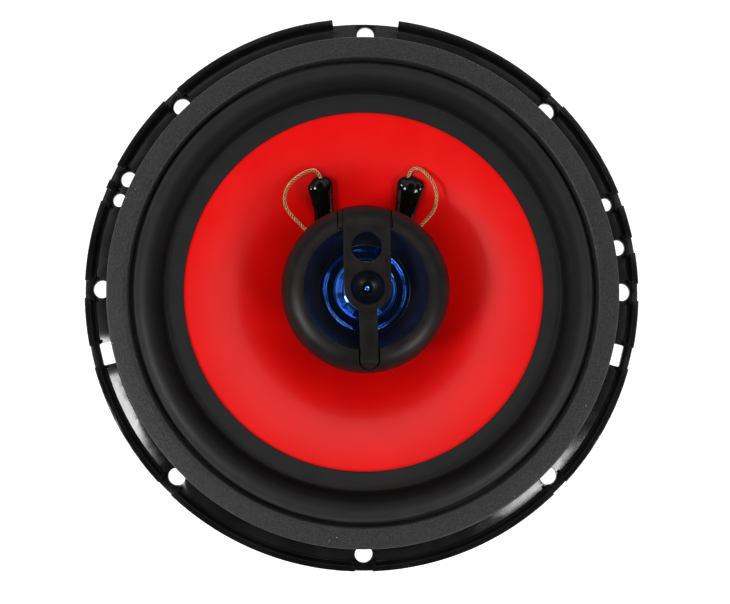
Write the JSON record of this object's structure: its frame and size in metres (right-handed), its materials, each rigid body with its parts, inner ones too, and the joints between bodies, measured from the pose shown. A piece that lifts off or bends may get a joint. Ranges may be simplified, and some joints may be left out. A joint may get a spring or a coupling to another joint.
{
  "type": "coaxial car speaker",
  "caption": "Round coaxial car speaker: red cone in a rubber half-roll surround on a stamped steel basket, with a bridged tweeter housing on a central post and a ferrite motor behind.",
  "frame": {"origin": "centre of the screw-hole circle on the rear face of the flange", "axes": "+Z out of the panel towards the listener, along the speaker's axis; +Y towards the flat notch in the flange and the terminals"},
  "size_m": [0.165, 0.1644, 0.0751],
  "materials": {
    "basket": "gloss black stove enamel",
    "gasket": "fine-grained charcoal rubber",
    "surround": "satin black rubber",
    "cone": "gloss red polypropylene",
    "former": "thin foil",
    "winding": "enamelled copper wire",
    "spider": "resin-stiffened woven cloth",
    "plate": "black zinc",
    "magnet": "sintered ferrite, matt dark grey",
    "zinc": "bright zinc",
    "board": "brown phenolic paper laminate",
    "lug": "tinned brass",
    "glue": "gloss black rubber cement",
    "tinsel": "braided gold-coloured tinsel wire",
    "housing": "satin black moulded plastic",
    "foil": "metallised blue polyester foil",
    "capacitor": "sleeved electrolytic capacitor",
    "piezo": "brass disc"
  },
  "bodies": {
    "frame": {"basket": "basket", "gasket": "gasket", "top_plate": "plate", "magnet": "magnet", "t_yoke": "plate", "basket_rivets": "plate", "tweeter_post": "housing", "post_screw": "zinc", "terminal_board": "board", "board_rivets": "zinc", "positive_lug": "lug", "negative_lug": "lug", "lug_eyelets": "lug", "housing_cup": "housing", "housing_bezel": "housing", "housing_screws": "zinc", "bridge": "housing", "mid_yoke": "zinc", "mid_magnet": "magnet", "mid_plate": "zinc", "crossover_capacitor": "capacitor", "super_tweeter_horn": "housing", "super_tweeter_element": "piezo"},
    "cone_assembly": {"cone": "cone", "voice_coil_former": "former", "voice_coil_winding": "winding", "front_glue_left": "glue", "front_glue_right": "glue", "rear_glue_left": "glue", "rear_glue_right": "glue", "surround": "surround", "spider": "spider", "front_lead_left": "tinsel", "front_lead_right": "tinsel", "rear_lead_left": "tinsel", "rear_lead_right": "tinsel"},
    "mid_diaphragm_assembly": {"mid_diaphragm": "foil", "mid_voice_coil": "winding"},
    "super_tweeter_diaphragm": {"super_tweeter_dome": "foil"}
  },
  "joints": [
    {"name": "cone_travel", "type": "slide", "parent": "frame", "child": "cone_assembly", "axis": [0, 0, 1], "range_m": [-0.004, 0.004], "stiffness_N_per_m": 2500, "deforming": ["surround", "spider", "front_lead_left", "front_lead_right", "rear_lead_left", "rear_lead_right"]},
    {"name": "mid_travel", "type": "slide", "parent": "frame", "child": "mid_diaphragm_assembly", "axis": [0, 0, 1], "range_m": [-0.0005, 0.0005], "stiffness_N_per_m": 1500, "deforming": ["mid_diaphragm"]},
    {"name": "super_tweeter_travel", "type": "slide", "parent": "frame", "child": "super_tweeter_diaphragm", "axis": [0, 0, 1], "range_m": [-0.0001, 0.0001], "stiffness_N_per_m": 1000}
  ]
}
